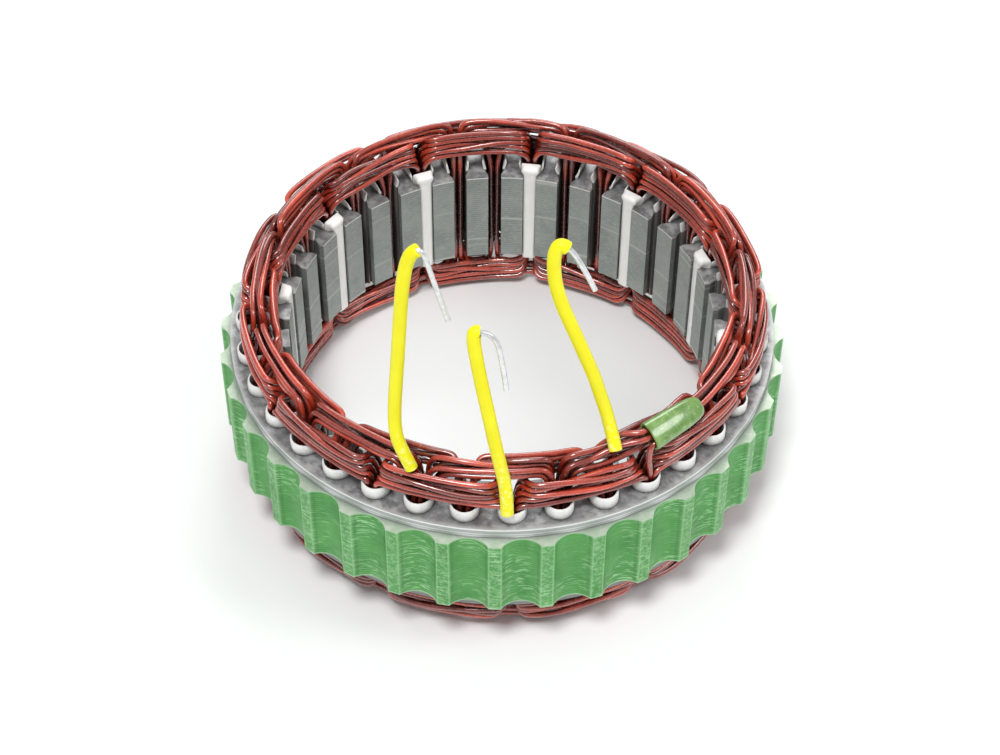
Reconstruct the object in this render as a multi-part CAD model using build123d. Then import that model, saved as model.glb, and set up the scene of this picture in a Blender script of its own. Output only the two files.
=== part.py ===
from build123d import *
import math
import os

# Wound stator of a claw-pole generator, in millimetres and degrees.
# The axis of the machine is Z. Z = 0 is the lower face of the lamination stack, on the axis.
# Slot 0 points along -Y, and the slots are counted towards +X.

# Winding layout
POLES = 12
PHASES = 3
SLOTS = POLES * PHASES
SLOT_ANGLE = 360 / SLOTS
COIL_HALF_ANGLE = SLOT_ANGLE * PHASES / 2

# Lamination stack
LAMINATIONS = 39
LAMINATION_THICKNESS = 0.65
OUTSIDE_DIAMETER = 127.0
REGISTER_STEP = 2.5
YOKE_THICKNESS = 1.5
UPPER_REGISTER_LENGTH = 2.8
LOWER_REGISTER_LENGTH = 1.56
FLUTE_DEPTH = 2.3
RIB_WIDTH = 2.66
RIB_LEAD_ANGLE = 1.58

# Teeth and slots
TOOTH_WIDTH = 4.0
TOOTH_TIP_THICKNESS = 1.2
TOOTH_TIP_TAPER = 1.4
SLOT_OPENING = 3.15
SLOT_DEPTH = 11.6

# Slot liners and wedges
PAPER_THICKNESS = 0.4
FIT = 0.05
UPPER_COLLAR = 3.0
LOWER_COLLAR = 2.0
WEDGE_THICKNESS = 1.7
WEDGE_RECESS = 0.4
WEDGE_UPPER_HEAD = 2.4
WEDGE_LOWER_HEAD = 1.4
WEDGE_CHAMFER = 0.4

# Enamelled wire and its coils
WIRE_DIAMETER = 1.25
SLOT_ROOM = 0.375
WEDGE_ROOM = 0.575
COLUMN_GAP = 0.35
LEG_BOND = 0.06
LEG_WEB = 0.9
STRAND_ROOTING = 0.8
STRAND_EXIT = 0.3
STRAND_BEND = 1.5
ARC_SHARE = 0.45

# Winding heads. A layer stands outward from the middle of the slots' wires by its shift, and the
# first of its levels is above the liners. A turn leaves its slot at a throat (outward from that
# middle, across the slot, height above the liners), and bends at its nose, which is measured from
# the slot's centre plane. The outer and the inner layer have one column of wires with evenly
# stepped throats, from the lowest wire up.
OUTER_LAYER = {
    "shift": 2.95,
    "level": 1.2,
    "pitch": 1.5,
    "throat": (3.1, 0.83, 0.6),
    "throat_step": (-1.332, 0.243, 0.867),
    "nose": 4.21,
    "nose_step": 0.065,
}
INNER_LAYER = {
    "shift": -4.24,
    "level": 2.52,
    "pitch": 1.4,
    "throat": (-3.84, 0.69, 0.35),
    "throat_step": (1.071, 0.18, 1.006),
    "nose": 5.43,
    "nose_step": -0.433,
}
# The middle layer has two columns side by side. Its throats and noses are given turn by turn, from
# the bore outwards, because they thread between the other two layers.
MIDDLE_LAYER = {
    "shift": -0.57,
    "level": 7.4,
    "pitch": 1.5,
    "column_pitch": 1.51,
    "throats": [
        (-2.72, 0.67, 4.19),
        (-1.43, 0.8, 2.63),
        (-0.19, 1.3, -0.34),
        (1.09, 1.59, -0.35),
        (0.81, 0.64, 3.3),
    ],
    "noses": [3.34, 4.36, 4.93, 5.24, 3.96],
}

# Connection leads
LEAD_WIRE_DIAMETER = 1.25
SLEEVE_OUTSIDE_DIAMETER = 3.0
SLEEVE_BORE = 1.7
SLEEVE_TIP_BEND = 1.6
SLEEVE_END_RUN = 0.15
HOOK_BEND = 1.0

# Star point
STAR_SLOT = 3
STAR_LEAD_ANGLE = 7.5
STAR_OUTWARD = 1.85
STAR_LENGTH = 17.5
STAR_WIDTH = 6.5
STAR_THICKNESS = 3.2
STAR_WALL = 0.5
STAR_EDGE_RADIUS = 1.1
STAR_END_RADIUS = 2.6
STAR_SEAT_GAP = 0.2
STAR_WIRE_SPACING = 1.35
STAR_BLOCK_LENGTH = 8.0
STAR_BLOCK_THICKNESS = 1.8
STAR_BLOCK_MARGIN = 0.15
STAR_TAIL_BEND = 1.0
STAR_MOUTH_RUN = 1.5
MIDDLE_TAIL_START = 12.5
MIDDLE_TAIL_END = 6.5
MIDDLE_TAIL_SHIFT = 0.35
INNER_TAIL_START = -3.5
INNER_TAIL_END = 1.0
INNER_TAIL_LOOP = 4.0
INNER_TAIL_LIFT = 2.2
INNER_TAIL_STEP = 2.2

STACK_HEIGHT = LAMINATIONS * LAMINATION_THICKNESS
RIB_RADIUS = OUTSIDE_DIAMETER / 2
REGISTER_RADIUS = RIB_RADIUS - REGISTER_STEP
FLUTE_ROOT_RADIUS = RIB_RADIUS - FLUTE_DEPTH
SLOT_BOTTOM_RADIUS = REGISTER_RADIUS - YOKE_THICKNESS
BORE_RADIUS = SLOT_BOTTOM_RADIUS - SLOT_DEPTH
TIP_BACK_RADIUS = BORE_RADIUS + TOOTH_TIP_THICKNESS
TAPER_END_RADIUS = TIP_BACK_RADIUS + TOOTH_TIP_TAPER
HALF_PITCH = math.radians(SLOT_ANGLE / 2)
TURNS = len(MIDDLE_LAYER["throats"])

# The round bottom of a slot touches both flanks and the slot's full depth.
ROUND_RADIUS = (SLOT_BOTTOM_RADIUS * math.sin(HALF_PITCH) - TOOTH_WIDTH / 2) / (1 + math.sin(HALF_PITCH))
ROUND_CENTRE = SLOT_BOTTOM_RADIUS - ROUND_RADIUS

WIRE_RADIUS = WIRE_DIAMETER / 2
WEDGE_BACK_RADIUS = TIP_BACK_RADIUS + FIT + WEDGE_THICKNESS
LINER_START_RADIUS = WEDGE_BACK_RADIUS + FIT
COLUMN_OFFSET = (COLUMN_GAP + WIRE_DIAMETER) / 2
FIRST_WIRE_RADIUS = WEDGE_BACK_RADIUS + WEDGE_ROOM + WIRE_RADIUS
LAST_WIRE_RADIUS = SLOT_BOTTOM_RADIUS - FIT - PAPER_THICKNESS - SLOT_ROOM - WIRE_RADIUS
SLOT_WIRE_PITCH = (LAST_WIRE_RADIUS - FIRST_WIRE_RADIUS) / (TURNS - 1)
SLOT_WIRE_RADII = [FIRST_WIRE_RADIUS + SLOT_WIRE_PITCH * turn for turn in range(TURNS)]
SLOT_MIDDLE_RADIUS = (FIRST_WIRE_RADIUS + LAST_WIRE_RADIUS) / 2
HEAD_BASE_Z = STACK_HEIGHT + UPPER_COLLAR


def slot_angle(slot):
    """Angle of a slot's centre line about the axis."""
    return -90 + SLOT_ANGLE * slot


def flank(radius, inset):
    """Half width of a slot between parallel-sided teeth, less an inset."""
    return radius * math.tan(HALF_PITCH) - (TOOTH_WIDTH / 2 + inset) / math.cos(HALF_PITCH)


def slot_outline(inset, start):
    """A slot's outline along +X, from the radius start to its round bottom."""
    radius = ROUND_RADIUS - inset
    touch_x = ROUND_CENTRE - radius * math.sin(HALF_PITCH)
    touch_y = radius * math.cos(HALF_PITCH)
    side = flank(start, inset)
    return make_face(
        [
            Line((start, -side), (start, side)),
            Line((start, side), (touch_x, touch_y)),
            ThreePointArc((touch_x, touch_y), (ROUND_CENTRE + radius, 0), (touch_x, -touch_y)),
            Line((touch_x, -touch_y), (start, -side)),
        ]
    )


def mouth_outline(inset, start, end):
    """The slot mouth along +X: straight between the tooth tips, then widening behind them."""
    half_mouth = SLOT_OPENING / 2 - inset
    upper = [
        (start, half_mouth),
        (TIP_BACK_RADIUS + inset, half_mouth),
        (TAPER_END_RADIUS, flank(TAPER_END_RADIUS, inset)),
        (end, flank(end, inset)),
    ]
    lower = [(x, -y) for x, y in reversed(upper)]
    return make_face(Polyline(*upper, *lower, close=True))


def lamination_stack():
    """The stack of laminations: bore, teeth, slots, fluted outside and two turned registers."""
    half_rib = RIB_WIDTH / 2
    flute_half_angle = HALF_PITCH - math.asin(half_rib / RIB_RADIUS)
    half_chord = RIB_RADIUS * math.sin(flute_half_angle)
    rise = RIB_RADIUS * math.cos(flute_half_angle) - FLUTE_ROOT_RADIUS
    flute_radius = (half_chord**2 + rise**2) / (2 * rise)
    flute = Pos(FLUTE_ROOT_RADIUS + flute_radius, 0) * Circle(flute_radius)
    flutes = [Rot(0, 0, slot_angle(slot) + RIB_LEAD_ANGLE) * flute for slot in range(SLOTS)]
    opening = slot_outline(0, TAPER_END_RADIUS) + mouth_outline(0, BORE_RADIUS - 1, TAPER_END_RADIUS + 0.5)
    slots = [Rot(0, 0, slot_angle(slot)) * opening for slot in range(SLOTS)]
    lamination = Circle(RIB_RADIUS) - Circle(BORE_RADIUS) - flutes - slots
    stack = extrude(lamination, STACK_HEIGHT)
    turned_off = Circle(RIB_RADIUS + 1) - Circle(REGISTER_RADIUS)
    stack -= Pos(0, 0, STACK_HEIGHT - UPPER_REGISTER_LENGTH) * extrude(turned_off, UPPER_REGISTER_LENGTH + 1)
    stack -= Pos(0, 0, -1) * extrude(turned_off, LOWER_REGISTER_LENGTH + 1)
    return stack


def slot_liner():
    """A folded paper channel that lines one slot and stands proud of both stack faces."""
    outside = slot_outline(FIT, LINER_START_RADIUS)
    inside = slot_outline(FIT + PAPER_THICKNESS, LINER_START_RADIUS - 1)
    paper = extrude(outside - inside, LOWER_COLLAR + STACK_HEIGHT + UPPER_COLLAR)
    return Pos(0, 0, -LOWER_COLLAR) * paper


def slot_wedge():
    """A strip that fills one slot's mouth and widens behind the tooth tips, proud of both faces."""
    section = mouth_outline(FIT, BORE_RADIUS + WEDGE_RECESS, WEDGE_BACK_RADIUS)
    strip = extrude(section, WEDGE_LOWER_HEAD + STACK_HEIGHT + WEDGE_UPPER_HEAD)
    ends = strip.faces().sort_by(Axis.Z)
    cross_edges = (ends[0].edges() + ends[-1].edges()).filter_by(Axis.Y)
    strip = chamfer(cross_edges, WEDGE_CHAMFER)
    return Pos(0, 0, -WEDGE_LOWER_HEAD) * strip


def at_slot(offset_angle, across, radius, z):
    """A point beside a slot's centre plane; the slot stands offset_angle from +X."""
    angle = math.radians(offset_angle)
    x = radius * math.cos(angle) - across * math.sin(angle)
    y = radius * math.sin(angle) + across * math.cos(angle)
    return Vector(x, y, z)


def on_arc(radius, angle, z):
    """A point at a radius and an angle from +X."""
    return Vector(radius * math.cos(math.radians(angle)), radius * math.sin(math.radians(angle)), z)


def turn_between(before, corner, after):
    """How far a route turns at a corner, in radians."""
    return math.radians((corner - before).get_angle(after - corner))


def wide_radius(before, corner, after):
    """The widest even bend that both runs beside a corner leave room for."""
    run = min((corner - before).length, (after - corner).length)
    return ARC_SHARE * run / math.tan(turn_between(before, corner, after) / 2)


def round_wire(points, radii, diameter):
    """A round wire along straight runs joined by tangent arcs."""
    route = FilletPolyline(*points, radius=radii)
    section = Plane(origin=route @ 0, z_dir=route % 0) * Circle(diameter / 2)
    return sweep(section, path=route)


def stacked_turn(layer, place):
    """Seat, throat and nose of the wire at one place in a layer of one column."""
    radius = SLOT_MIDDLE_RADIUS + layer["shift"]
    throat = [first + step * place for first, step in zip(layer["throat"], layer["throat_step"])]
    return radius, layer["level"] + layer["pitch"] * place, throat, layer["nose"] + layer["nose_step"] * place


def head_turn(layer, turn):
    """Layer radius, level above the liners, throat and nose of one turn."""
    if layer == "outer":
        return stacked_turn(OUTER_LAYER, TURNS - 1 - turn)
    if layer == "inner":
        return stacked_turn(INNER_LAYER, turn)
    first_outward = (TURNS + 1) // 2
    column = 0.5 if turn >= first_outward else -0.5
    place = turn - first_outward if turn >= first_outward else first_outward - 1 - turn
    radius = SLOT_MIDDLE_RADIUS + MIDDLE_LAYER["shift"] + column * MIDDLE_LAYER["column_pitch"]
    level = MIDDLE_LAYER["level"] + MIDDLE_LAYER["pitch"] * place
    return radius, level, MIDDLE_LAYER["throats"][turn], MIDDLE_LAYER["noses"][turn]


def head_strand(layer, turn, face_z, side, collar):
    """One turn's way across the winding head, over the stack face at face_z."""
    radius, level, (outward, across, height), nose = head_turn(layer, turn)
    throat_radius = SLOT_MIDDLE_RADIUS + outward
    root_z = face_z - side * STRAND_ROOTING
    exit_z = face_z + side * STRAND_EXIT
    throat_z = face_z + side * (collar + height)
    level_z = face_z + side * (collar + level)
    half_arc = COIL_HALF_ANGLE - math.degrees(nose / radius)
    slot_radius = SLOT_WIRE_RADII[turn]
    points = [
        at_slot(-COIL_HALF_ANGLE, COLUMN_OFFSET, slot_radius, root_z),
        at_slot(-COIL_HALF_ANGLE, COLUMN_OFFSET, slot_radius, exit_z),
        at_slot(-COIL_HALF_ANGLE, across, throat_radius, throat_z),
        on_arc(radius, -half_arc, level_z),
        on_arc(radius / math.cos(math.radians(half_arc)), 0, level_z),
        on_arc(radius, half_arc, level_z),
        at_slot(COIL_HALF_ANGLE, -across, throat_radius, throat_z),
        at_slot(COIL_HALF_ANGLE, -COLUMN_OFFSET, slot_radius, exit_z),
        at_slot(COIL_HALF_ANGLE, -COLUMN_OFFSET, slot_radius, root_z),
    ]
    crown_radius = wide_radius(*points[3:6])
    bends = [STRAND_BEND] * 3
    return round_wire(points, [*bends, crown_radius, *bends], WIRE_DIAMETER)


def coil_leg(slot_offset, across):
    """One coil side in its slot: a column of varnish-bonded wires."""
    bonded_radius = WIRE_RADIUS + LEG_BOND / 2
    first, last = SLOT_WIRE_RADII[0], SLOT_WIRE_RADII[-1]
    section = Pos((first + last) / 2, across) * Rectangle(last - first, LEG_WEB)
    section += [Pos(radius, across) * Circle(bonded_radius) for radius in SLOT_WIRE_RADII]
    return Rot(0, 0, slot_offset) * extrude(section, STACK_HEIGHT)


def coil(layer):
    """One coil of a phase, centred on +X: two slot sides and the turns of both heads."""
    sides = coil_leg(-COIL_HALF_ANGLE, COLUMN_OFFSET) + coil_leg(COIL_HALF_ANGLE, -COLUMN_OFFSET)
    upper = [head_strand(layer, turn, STACK_HEIGHT, 1, UPPER_COLLAR) for turn in range(TURNS)]
    lower = [head_strand(layer, turn, 0, -1, LOWER_COLLAR) for turn in range(TURNS)]
    return sides + upper + lower


def phase_coils(layer, first_slot):
    """All coils of one phase, each reaching from one of its slots to the next."""
    pattern = coil(layer).solids()[0]
    middle = first_slot + PHASES / 2
    return Compound([Rot(0, 0, slot_angle(middle + PHASES * pole)) * pattern for pole in range(POLES)])


# Each lead leaves the gap between two coil noses of its own phase. Its points are (across the
# slot, outward from the middle of the slot's wires, height above the liners), chosen along the
# formed lead. The last sleeve point is the bend at the tip, and the bare end hangs from there.
# The root run is how far the wire reaches below its sleeve.
LEADS = [
    {
        "slot": -2,
        "root_run": 2.0,
        "sleeve": [
            (0.0, 0.97, 9.06),
            (-5.2, -0.45, 20.2),
            (-5.4, -2.25, 34.8),
            (-4.3, -4.35, 53.0),
            (-2.8, -5.95, 62.0),
        ],
        "bare": [(-0.4, -6.35, 61.8), (1.3, -6.35, 54.9), (4.4, -6.35, 45.1)],
    },
    {
        "slot": 0,
        "root_run": 1.2,
        "sleeve": [
            (0.0, 3.4, 2.93),
            (-1.9, 2.95, 9.6),
            (-3.1, 1.6, 20.0),
            (-5.4, -0.6, 32.6),
            (-7.9, -3.0, 46.2),
        ],
        "bare": [(-3.4, -2.5, 44.5), (-1.7, -1.2, 38.2), (-1.3, -0.1, 32.9)],
    },
    {
        "slot": 2,
        "root_run": 2.1,
        "sleeve": [
            (0.0, -3.52, 4.49),
            (1.8, -3.25, 11.5),
            (-1.2, -5.65, 29.4),
            (-6.9, -10.95, 50.5),
            (-5.8, -11.95, 61.6),
        ],
        "bare": [(-3.2, -11.05, 61.2), (-2.0, -9.55, 55.5), (0.2, -7.75, 48.9)],
    },
]

# The outer layer's tail to the star point, in the same measures.
OUTER_TAIL = [(0.0, 2.55, 1.2), (-1.2, 2.55, 5.0), (-4.6, 3.35, 9.4)]


def above_winding(slot, point):
    """A point given across a slot, outward from the middle of its wires and above the liners."""
    across, outward, height = point
    return at_slot(slot_angle(slot), across, SLOT_MIDDLE_RADIUS + outward, HEAD_BASE_Z + height)


def lead_route(lead):
    """Points and bends of a lead's sleeved stretch, with its first bare point as the last."""
    points = [above_winding(lead["slot"], point) for point in lead["sleeve"] + lead["bare"][:1]]
    bends = [wide_radius(*points[index - 1 : index + 2]) for index in range(1, len(points) - 2)]
    return points, [*bends, SLEEVE_TIP_BEND]


def lead_sleeve(lead):
    """Insulating sleeving over a lead, from the winding to just past the bend at its tip."""
    points, bends = lead_route(lead)
    tip, beyond = points[-2:]
    tip_run = SLEEVE_TIP_BEND * math.tan(turn_between(*points[-3:]) / 2) + SLEEVE_END_RUN
    points[-1] = tip + (beyond - tip).normalized() * tip_run
    return round_wire(points, bends, SLEEVE_OUTSIDE_DIAMETER) - round_wire(points, bends, SLEEVE_BORE)


def lead_wire(lead):
    """The tinned conductor of a lead: up from the winding, through its sleeve, and hooked over."""
    points, bends = lead_route(lead)
    points[0] -= (points[1] - points[0]).normalized() * lead["root_run"]
    points += [above_winding(lead["slot"], point) for point in lead["bare"][1:]]
    bends.append(HOOK_BEND)
    for index in range(len(bends) + 1, len(points) - 1):
        bends.append(wide_radius(*points[index - 1 : index + 2]))
    return round_wire(points, bends, LEAD_WIRE_DIAMETER)


def star_plane():
    """Seat of the star point on the shoulder between the middle and the outer layer."""
    crest_radius, crest_level = head_turn("middle", 0)[:2]
    edge_radius, edge_level = head_turn("outer", 0)[:2]
    tilt = math.atan2(crest_level - edge_level, edge_radius - crest_radius)
    star_radius = SLOT_MIDDLE_RADIUS + STAR_OUTWARD
    clear = WIRE_RADIUS + STAR_SEAT_GAP + STAR_THICKNESS / 2
    seat_level = crest_level - math.tan(tilt) * (star_radius - crest_radius) + clear / math.cos(tilt)
    angle = slot_angle(STAR_SLOT) + STAR_LEAD_ANGLE
    outward = on_arc(1, angle, 0)
    along = on_arc(1, angle + 90, 0)
    normal = outward * math.sin(tilt) + Vector(0, 0, 1) * math.cos(tilt)
    origin = on_arc(star_radius, angle, HEAD_BASE_Z + seat_level)
    return Plane(origin=origin, x_dir=along, z_dir=normal)


def pouch(start, end, width, thickness, end_radius, edge_radius):
    """A flat pocket along X with a rounded closed end."""
    half = width / 2
    outline = Polyline((end - end_radius, half), (start, half), (start, -half), (end - end_radius, -half))
    closed_end = [
        RadiusArc((end - end_radius, half), (end, half - end_radius), end_radius),
        Line((end, half - end_radius), (end, end_radius - half)),
        RadiusArc((end, end_radius - half), (end - end_radius, -half), end_radius),
    ]
    body = extrude(make_face([outline, *closed_end]), thickness / 2, both=True)
    rim = body.faces().filter_by(Axis.Z).edges()
    return fillet([edge for edge in rim if abs(edge.center().X - start) > 0.001], edge_radius)


def star_point_sleeve():
    """The closed insulating cap over the joined ends of the three phases."""
    end = STAR_LENGTH / 2
    outside = pouch(-end, end, STAR_WIDTH, STAR_THICKNESS, STAR_END_RADIUS, STAR_EDGE_RADIUS)
    inside = pouch(
        -end - 1,
        end - STAR_WALL,
        STAR_WIDTH - 2 * STAR_WALL,
        STAR_THICKNESS - 2 * STAR_WALL,
        STAR_END_RADIUS - STAR_WALL,
        STAR_EDGE_RADIUS - STAR_WALL,
    )
    return star_plane() * (outside - inside)


def star_point_joint():
    """The three phase ends, soldered side by side into one joint inside the cap."""
    seat = star_plane()
    mouth = -STAR_LENGTH / 2 - STAR_MOUTH_RUN
    buried = WIRE_DIAMETER - STAR_BLOCK_LENGTH / 2

    def in_cap(across):
        return [seat.from_local_coords(Vector(along, across, 0)) for along in (mouth, buried)]

    slot = slot_angle(STAR_SLOT)
    notch_radius, notch_level = head_turn("middle", TURNS - 1)[:2]
    notch_radius += MIDDLE_TAIL_SHIFT
    notch_z = HEAD_BASE_Z + notch_level + MIDDLE_LAYER["pitch"]
    ridge_radius, ridge_level = head_turn("inner", TURNS - 1)[:2]
    ridge_z = HEAD_BASE_Z + ridge_level + INNER_LAYER["pitch"]
    outer_tail = [above_winding(STAR_SLOT, point) for point in OUTER_TAIL]
    middle_tail = [
        on_arc(notch_radius, slot - MIDDLE_TAIL_START, notch_z),
        on_arc(notch_radius, slot - MIDDLE_TAIL_END, notch_z),
    ]
    inner_tail = [
        on_arc(ridge_radius, slot - INNER_TAIL_START, ridge_z),
        on_arc(ridge_radius, slot - INNER_TAIL_END, ridge_z),
        on_arc(ridge_radius + INNER_TAIL_STEP, slot - INNER_TAIL_LOOP, ridge_z + INNER_TAIL_LIFT),
    ]
    routes = [
        outer_tail + in_cap(-STAR_WIRE_SPACING),
        middle_tail + in_cap(0),
        inner_tail + in_cap(STAR_WIRE_SPACING),
    ]
    tails = [round_wire(route, [STAR_TAIL_BEND] * (len(route) - 2), WIRE_DIAMETER) for route in routes]
    block_width = 2 * STAR_WIRE_SPACING + WIRE_DIAMETER + 2 * STAR_BLOCK_MARGIN
    return seat * Box(STAR_BLOCK_LENGTH, block_width, STAR_BLOCK_THICKNESS) + tails


def write(name, shape):
    """Write one named piece."""
    export_step(shape, f"parts/{name}.step")


os.makedirs("parts", exist_ok=True)
write("lamination_stack", lamination_stack())

liner = slot_liner()
for slot in range(SLOTS):
    write(f"slot_liner_{slot + 1:02d}", Rot(0, 0, slot_angle(slot)) * liner)

wedge = slot_wedge()
for pole in range(POLES):
    write(f"slot_wedge_{pole + 1:02d}", Rot(0, 0, slot_angle(2 + PHASES * pole)) * wedge)

for name, layer, first_slot in (("u", "outer", 0), ("v", "middle", 1), ("w", "inner", 2)):
    write(f"phase_{name}_coils", phase_coils(layer, first_slot))

for number, lead in enumerate(LEADS, start=1):
    write(f"lead_sleeve_{number}", lead_sleeve(lead))
    write(f"lead_wire_{number}", lead_wire(lead))

write("star_point_sleeve", star_point_sleeve())
write("star_point_joint", star_point_joint())
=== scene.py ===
import math
import random

import bpy
import numpy as np
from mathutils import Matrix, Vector


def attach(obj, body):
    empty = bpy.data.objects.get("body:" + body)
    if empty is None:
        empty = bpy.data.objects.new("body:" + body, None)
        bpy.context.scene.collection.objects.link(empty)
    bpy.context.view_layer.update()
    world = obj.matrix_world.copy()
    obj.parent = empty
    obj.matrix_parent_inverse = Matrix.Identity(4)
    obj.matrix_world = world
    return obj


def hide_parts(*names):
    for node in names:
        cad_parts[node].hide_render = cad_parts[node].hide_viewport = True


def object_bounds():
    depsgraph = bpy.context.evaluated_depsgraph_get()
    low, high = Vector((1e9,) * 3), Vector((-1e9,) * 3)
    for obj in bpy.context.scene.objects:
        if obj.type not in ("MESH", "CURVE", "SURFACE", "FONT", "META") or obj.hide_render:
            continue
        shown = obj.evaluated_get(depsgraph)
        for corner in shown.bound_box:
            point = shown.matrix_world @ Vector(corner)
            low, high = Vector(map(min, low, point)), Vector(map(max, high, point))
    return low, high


# The dressed model of a wound stator. Sizes are in millimetres and degrees until a mesh is made.
# The machine's axis is Z, and Z = 0 is the lower face of the lamination stack.

MM = 0.001
SEED = 7

# The sizes of the solid model that the dressed pieces follow
SLOTS = 36
SLOT_ANGLE = 10.0
STACK_HEIGHT = 25.35
LAMINATION = 0.65
TOOTH_WIDTH = 4.0
TIP_BACK_RADIUS = 49.1
TAPER_END_RADIUS = 50.5
SLOT_BOTTOM_RADIUS = 59.5
SLOT_OPENING = 3.15
UPPER_LEDGE = 22.55
LOWER_LEDGE = 1.56
RIB_ANGLE = 6.58
HALF_RIB_ANGLE = 1.2
RIB_LINE_ANGLE = 1.75
REGISTER_RADIUS = 61.0
TURNED_FROM_RADIUS = 59.9
FIT = 0.05
PAPER = 0.4
UPPER_COLLAR = 3.0
LOWER_COLLAR = 2.0
LINER_START_RADIUS = 50.9
WEDGE_FRONT_RADIUS = 48.3
WEDGE_BACK_RADIUS = 50.85
WEDGE_UPPER_HEAD = 2.4
WEDGE_LOWER_HEAD = 1.4
POLES = 12
TURNS = 5
WIRE_RADIUS = 0.645
WIRE_SIDES = 10
WIRE_STEPS = 4
SLOT_WIRE_RADII = [52.05, 53.55, 55.05, 56.55, 58.05]
SLOT_MIDDLE_RADIUS = 55.05
COLUMN_OFFSET = 0.8
# Depths at which the straight run in a slot is held, inward from the stack's face
HELD_DEPTHS = (8.0, 4.0, 1.0, -0.6)

# The winding heads, laid as in the solid model: a layer's shift is outward from the middle of the
# slots' wires, its levels are heights above the liners, and a turn leaves its slot at a throat
# (outward from that middle, across the slot, height above the liners) and bends at its nose.
OUTER_LAYER = {
    "shift": 2.6,
    "level": 0.95,
    "pitch": 1.42,
    "throat": (3.0, 0.83, 0.6),
    "throat_step": (-1.332, 0.243, 0.867),
    "nose": 4.21,
    "nose_step": 0.065,
}
INNER_LAYER = {
    "shift": -4.0,
    "level": 2.9,
    "pitch": 1.36,
    "throat": (-3.6, 0.69, 0.45),
    "throat_step": (1.02, 0.18, 1.006),
    "nose": 5.43,
    "nose_step": -0.433,
}
MIDDLE_LAYER = {
    "shift": -0.57,
    "level": 7.0,
    "pitch": 1.4,
    "column_pitch": 1.45,
    "throats": [
        (-2.72, 0.67, 4.0),
        (-1.43, 0.8, 2.5),
        (-0.19, 1.3, -0.34),
        (1.09, 1.59, -0.35),
        (0.81, 0.64, 3.1),
    ],
    "noses": [3.34, 4.36, 4.93, 5.24, 3.96],
}
# Below the stack the wires keep closer to the middle of their slot, and spread less as they leave it
LOWER_COLUMN_OFFSET = 0.66
LOWER_SPREAD = 0.35
# Slots where a lead or the star point parts the coil noses
WIDE_SLOTS = (SLOTS - 2, 0, 2, 3)
# Neighbouring wires that change places over a head: how many do, and how far each steps aside
CROSSING_SHARE = 0.4
CROSSING_GAP = 0.55
# How far single wires stray from their layer's radius, inward and outward
STRAY = {"outer": (-0.12, 0.4), "middle": (-0.12, 0.12), "inner": (-0.4, 0.12)}

# Leads: points are (across the slot, outward from the middle of its wires, height above the liners)
SLEEVE_RADIUS = 1.4
SLEEVE_BORE_RADIUS = 0.75
LEAD_WIRE_RADIUS = 0.55
TINNED_ABOVE = 45.0
LEADS = [
    {
        "slot": -2,
        "root": [(0.0, 0.2, 4.6), (-0.5, 1.1, 6.8)],
        "sleeve": [
            (-1.2, 1.9, 8.3),
            (-2.4, 1.75, 11.2),
            (-4.1, 1.3, 14.5),
            (-5.1, 0.4, 18.2),
            (-5.3, -0.95, 24.3),
            (-5.0, -2.0, 31.6),
            (-4.7, -2.8, 38.9),
            (-4.35, -3.8, 48.1),
            (-4.1, -4.4, 53.1),
            (-3.65, -5.2, 57.9),
            (-2.8, -5.8, 61.2),
            (-1.4, -6.2, 62.2),
        ],
        "bare": [
            (-0.4, -6.4, 61.8),
            (0.6, -6.4, 58.6),
            (1.9, -6.4, 53.5),
            (3.4, -6.4, 48.6),
            (4.5, -6.3, 45.0),
        ],
    },
    {
        "slot": 0,
        "root": [(-0.3, 3.0, -1.0), (-0.9, 4.3, 0.3)],
        "sleeve": [
            (-1.2, 5.1, 1.4),
            (-1.25, 4.4, 4.0),
            (-1.45, 3.6, 7.2),
            (-1.9, 3.0, 10.0),
            (-2.6, 2.45, 13.6),
            (-3.7, 1.7, 19.6),
            (-4.9, 0.5, 26.7),
            (-6.15, -0.7, 33.6),
            (-7.2, -1.95, 40.3),
            (-7.7, -2.6, 44.2),
            (-7.6, -3.1, 46.5),
            (-6.6, -3.1, 46.3),
        ],
        "bare": [
            (-5.4, -3.2, 45.9),
            (-4.0, -3.1, 45.2),
            (-2.8, -2.4, 43.3),
            (-2.3, -1.5, 39.8),
            (-1.65, -0.7, 35.9),
            (-1.35, -0.1, 32.9),
        ],
    },
    {
        "slot": 2,
        "root": [(1.0, -3.0, 0.4), (2.0, -2.2, 4.4), (2.4, -0.6, 8.0)],
        "sleeve": [
            (2.5, 0.5, 10.1),
            (2.6, -1.2, 12.1),
            (2.4, -2.9, 15.0),
            (1.85, -3.9, 18.3),
            (0.65, -4.6, 23.0),
            (-0.4, -5.3, 27.7),
            (-1.75, -6.3, 32.0),
            (-4.15, -8.3, 39.9),
            (-5.2, -9.1, 43.0),
            (-6.3, -10.2, 47.0),
            (-7.1, -11.1, 51.2),
            (-7.2, -11.8, 55.3),
            (-6.9, -12.1, 58.4),
            (-5.9, -12.0, 60.3),
            (-4.6, -11.2, 59.3),
        ],
        "bare": [
            (-3.9, -11.0, 58.6),
            (-3.1, -10.4, 57.2),
            (-2.2, -9.6, 55.2),
            (-1.2, -8.9, 52.8),
            (0.05, -7.9, 49.4),
        ],
    },
]

# The star point's cap: a flattened sleeve, closed at one end, on the shoulder of the winding
STAR_SLOT = 3
STAR_LEAD_ANGLE = 7.5
STAR_TILT = 36.8
STAR_RADIUS = 56.9
STAR_LEVEL = 10.8
STAR_INWARD = 0.9
STAR_HALF_LENGTH = 7.3
STAR_WALL = 0.45
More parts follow.
